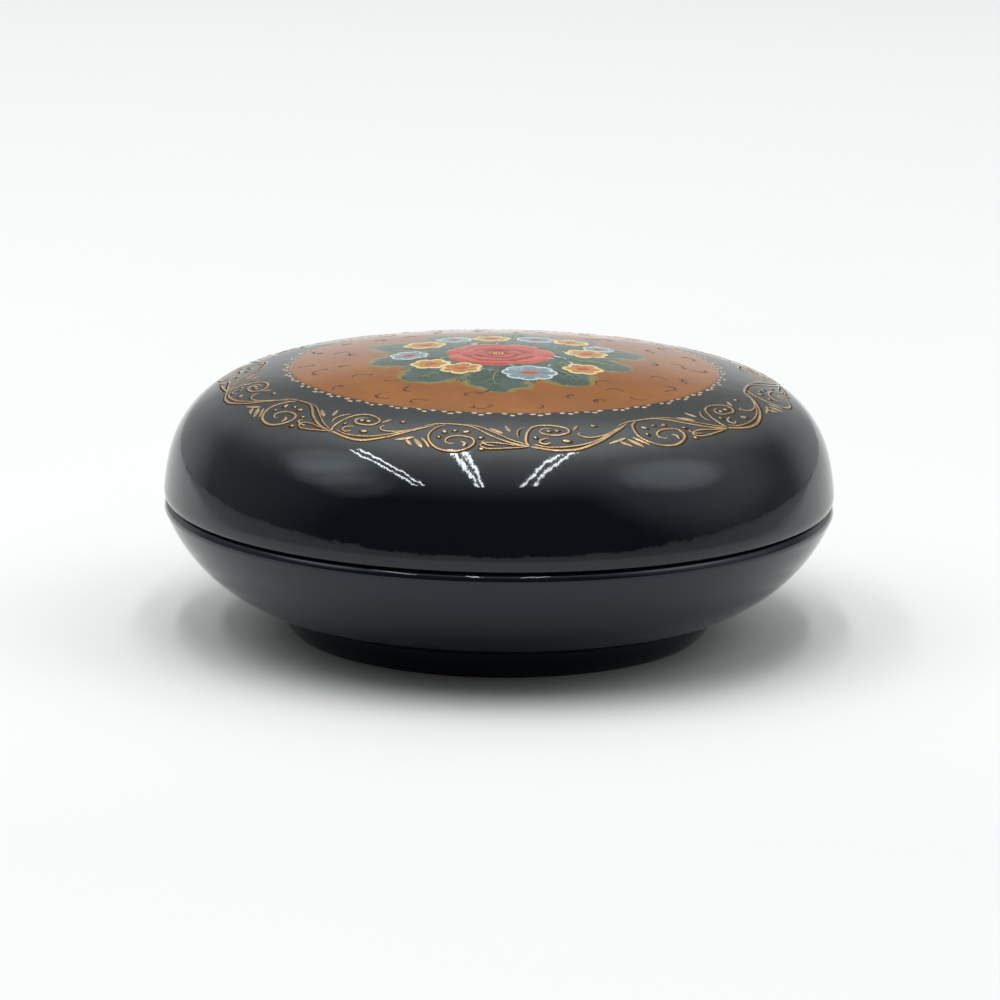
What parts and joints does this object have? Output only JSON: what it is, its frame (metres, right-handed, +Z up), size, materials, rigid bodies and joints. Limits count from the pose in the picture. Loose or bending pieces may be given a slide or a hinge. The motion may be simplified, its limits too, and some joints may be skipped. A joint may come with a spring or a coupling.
{
  "type": "round lacquer trinket box",
  "caption": "Round footed trinket box with a domed lift-off lid that drops over an inner collar in the bowl's mouth.",
  "frame": {"origin": "centre of the foot ring's underside, on the box's axis", "axes": "+Z up along the axis of symmetry, -Y towards the viewer of the picture, +X to its right"},
  "size_m": [0.11, 0.11, 0.0457],
  "materials": {
    "lid": "gloss",
    "bowl": "gloss",
    "inner_collar": "satin",
    "foot_ring": "gloss"
  },
  "bodies": {
    "box_base": {"bowl": "bowl", "inner_collar": "inner_collar", "foot_ring": "foot_ring"},
    "box_lid": {"lid": "lid"}
  },
  "joints": [
    {"name": "lid_lift", "type": "slide", "parent": "box_base", "child": "box_lid", "axis": [0, 0, 1], "range_m": [0, 0.06]}
  ]
}
